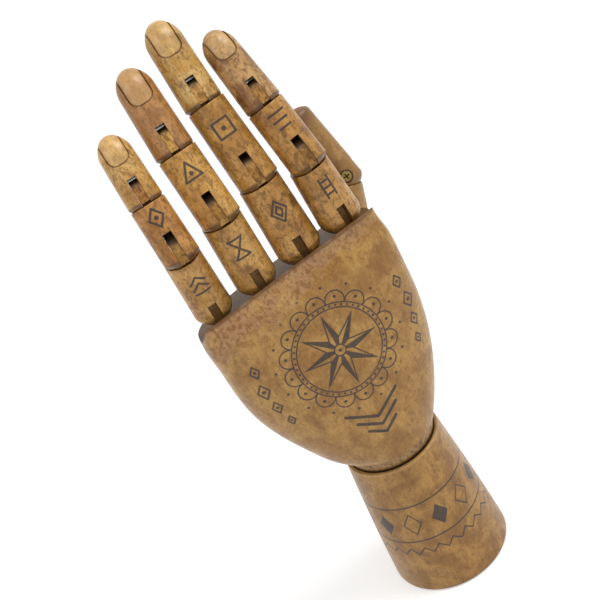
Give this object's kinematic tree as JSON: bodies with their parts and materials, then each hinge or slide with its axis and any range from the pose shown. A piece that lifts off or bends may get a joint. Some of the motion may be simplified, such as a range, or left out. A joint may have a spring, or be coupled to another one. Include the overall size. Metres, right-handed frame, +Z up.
{
  "type": "wooden hand mannequin",
  "caption": "Jointed wooden left hand on a tapered forearm stand: folding and spreading fingers, swinging thumb, ball wrist.",
  "frame": {"origin": "centre of the flat foot of the forearm", "axes": "+Z up along the forearm; the back of the hand faces -Y and the thumb is on the +X side"},
  "size_m": [0.1034, 0.0788, 0.2956],
  "materials": {
    "forearm_wood": "satin",
    "palm_wood": "satin",
    "finger_wood": "satin",
    "plate_wood": "matte",
    "steel": "plain",
    "brass": "plain"
  },
  "bodies": {
    "stand": {"forearm": "forearm_wood", "base_plug": "forearm_wood"},
    "stem": {"wrist_stud": "steel", "wrist_nut": "steel", "wrist_washer": "steel", "wrist_spring": "steel"},
    "cross": {"wrist_cross": "steel"},
    "hand": {"palm": "palm_wood", "wrist_cross_pin": "steel", "splay_pins": "steel", "thumb_base_screw": "brass"},
    "little_link": {"little_knuckle_link": "plate_wood"},
    "little_base": {"little_proximal": "finger_wood", "little_knuckle_pin": "steel", "little_proximal_tongue": "plate_wood"},
    "little_centre": {"little_middle": "finger_wood", "little_middle_pin": "steel", "little_middle_tongue": "plate_wood"},
    "little_tip": {"little_distal": "finger_wood", "little_end_pin": "steel"},
    "ring_link": {"ring_knuckle_link": "plate_wood"},
    "ring_base": {"ring_proximal": "finger_wood", "ring_knuckle_pin": "steel", "ring_proximal_tongue": "plate_wood"},
    "ring_centre": {"ring_middle": "finger_wood", "ring_middle_pin": "steel", "ring_middle_tongue": "plate_wood"},
    "ring_tip": {"ring_distal": "finger_wood", "ring_end_pin": "steel"},
    "middle_link": {"middle_knuckle_link": "plate_wood"},
    "middle_base": {"middle_proximal": "finger_wood", "middle_knuckle_pin": "steel", "middle_proximal_tongue": "plate_wood"},
    "middle_centre": {"middle_middle": "finger_wood", "middle_middle_pin": "steel", "middle_middle_tongue": "plate_wood"},
    "middle_tip": {"middle_distal": "finger_wood", "middle_end_pin": "steel"},
    "index_link": {"index_knuckle_link": "plate_wood"},
    "index_base": {"index_proximal": "finger_wood", "index_knuckle_pin": "steel", "index_proximal_tongue": "plate_wood"},
    "index_centre": {"index_middle": "finger_wood", "index_middle_pin": "steel", "index_middle_tongue": "plate_wood"},
    "index_tip": {"index_distal": "finger_wood", "index_end_pin": "steel"},
    "thumb_root": {"thumb_metacarpal": "finger_wood", "thumb_metacarpal_tongue": "plate_wood"},
    "thumb_centre": {"thumb_proximal": "finger_wood", "thumb_fold_pin": "steel", "thumb_proximal_tongue": "plate_wood"},
    "thumb_tip": {"thumb_distal": "finger_wood", "thumb_hinge_screw": "brass"}
  },
  "joints": [
    {"name": "wrist_turn", "type": "hinge", "parent": "stand", "child": "stem", "pos_m": [0, 0, 0.0845], "axis": [0, 0, 1], "continuous": true},
    {"name": "wrist_bend", "type": "hinge", "parent": "stem", "child": "cross", "pos_m": [0, 0, 0.0845], "axis": [-1, 0, 0], "range_deg": [-14, 14]},
    {"name": "wrist_lean", "type": "hinge", "parent": "cross", "child": "hand", "pos_m": [0, 0, 0.0845], "axis": [0, 1, 0], "range_deg": [-5, 5]},
    {"name": "little_splay", "type": "hinge", "parent": "hand", "child": "little_link", "pos_m": [-0.03845, 0, 0.17103], "axis": [0, -1, 0], "range_deg": [-1.5, 10]},
    {"name": "little_knuckle", "type": "hinge", "parent": "little_link", "child": "little_base", "pos_m": [-0.03845, 0, 0.18803], "axis": [-1, 0, 0], "range_deg": [-6, 84]},
    {"name": "little_middle_joint", "type": "hinge", "parent": "little_base", "child": "little_centre", "pos_m": [-0.03845, -0.00246, 0.22324], "axis": [-0.9999, 0.001, -0.0139], "range_deg": [-24, 56]},
    {"name": "little_end_joint", "type": "hinge", "parent": "little_centre", "child": "little_tip", "pos_m": [-0.03877, 0.00622, 0.24711], "axis": [-1, 0.0057, -0.0008], "range_deg": [-10, 40]},
    {"name": "ring_splay", "type": "hinge", "parent": "hand", "child": "ring_link", "pos_m": [-0.01611, 0, 0.17298], "axis": [0, -1, 0], "range_deg": [0, 2.5]},
    {"name": "ring_knuckle", "type": "hinge", "parent": "ring_link", "child": "ring_base", "pos_m": [-0.0162, 0, 0.18998], "axis": [-1, 0, -0.0052], "range_deg": [-13, 77]},
    {"name": "ring_middle_joint", "type": "hinge", "parent": "ring_base", "child": "ring_centre", "pos_m": [-0.0164, 0.00196, 0.22742], "axis": [-0.9991, -0.0019, -0.0418], "range_deg": [-17, 63]},
    {"name": "ring_end_joint", "type": "hinge", "parent": "ring_centre", "child": "ring_tip", "pos_m": [-0.01767, 0.01284, 0.25728], "axis": [-0.9999, 0.01, -0.009], "range_deg": [-10, 40]},
    {"name": "middle_splay", "type": "hinge", "parent": "hand", "child": "middle_link", "pos_m": [0.00698, 0, 0.17497], "axis": [0, 1, 0], "range_deg": [-0.8, 0.8]},
    {"name": "middle_knuckle", "type": "hinge", "parent": "middle_link", "child": "middle_base", "pos_m": [0.00645, 0, 0.19196], "axis": [-0.9995, 0, -0.0314], "range_deg": [-18, 72]},
    {"name": "middle_middle_joint", "type": "hinge", "parent": "middle_base", "child": "middle_centre", "pos_m": [0.00519, 0.00562, 0.23195], "axis": [-0.9978, -0.0049, -0.0659], "range_deg": [-12, 68]},
    {"name": "middle_end_joint", "type": "hinge", "parent": "middle_centre", "child": "middle_tip", "pos_m": [0.00286, 0.01817, 0.26635], "axis": [-0.9998, 0.013, -0.0168], "range_deg": [-10, 40]},
    {"name": "index_splay", "type": "hinge", "parent": "hand", "child": "index_link", "pos_m": [0.02924, 0, 0.1769], "axis": [-0.1044, 0.9945, -0.0055], "range_deg": [0, 6]},
    {"name": "index_knuckle", "type": "hinge", "parent": "index_link", "child": "index_base", "pos_m": [0.02835, 0, 0.19387], "axis": [-0.9932, -0.1045, -0.052], "range_deg": [-14, 66]},
    {"name": "index_middle_joint", "type": "hinge", "parent": "index_base", "child": "index_centre", "pos_m": [0.02635, 0.00233, 0.22733], "axis": [-0.991, -0.1065, -0.0816], "range_deg": [-16, 59]},
    {"name": "index_end_joint", "type": "hinge", "parent": "index_centre", "child": "index_tip", "pos_m": [0.02306, 0.01214, 0.25453], "axis": [-0.9917, -0.1042, -0.075], "range_deg": [-10, 25]},
    {"name": "thumb_swing", "type": "hinge", "parent": "hand", "child": "thumb_root", "pos_m": [0.0268, 0.027, 0.141], "axis": [0, 1, 0], "range_deg": [-2, 40]},
    {"name": "thumb_fold", "type": "hinge", "parent": "thumb_root", "child": "thumb_centre", "pos_m": [0.03535, 0.027, 0.16449], "axis": [-0.9397, 0, 0.342], "range_deg": [-12, 48]},
    {"name": "thumb_hinge", "type": "hinge", "parent": "thumb_centre", "child": "thumb_tip", "pos_m": [0.04472, 0.03282, 0.19023], "axis": [-0.1258, -0.9568, 0.2622], "range_deg": [-29, 41]}
  ]
}
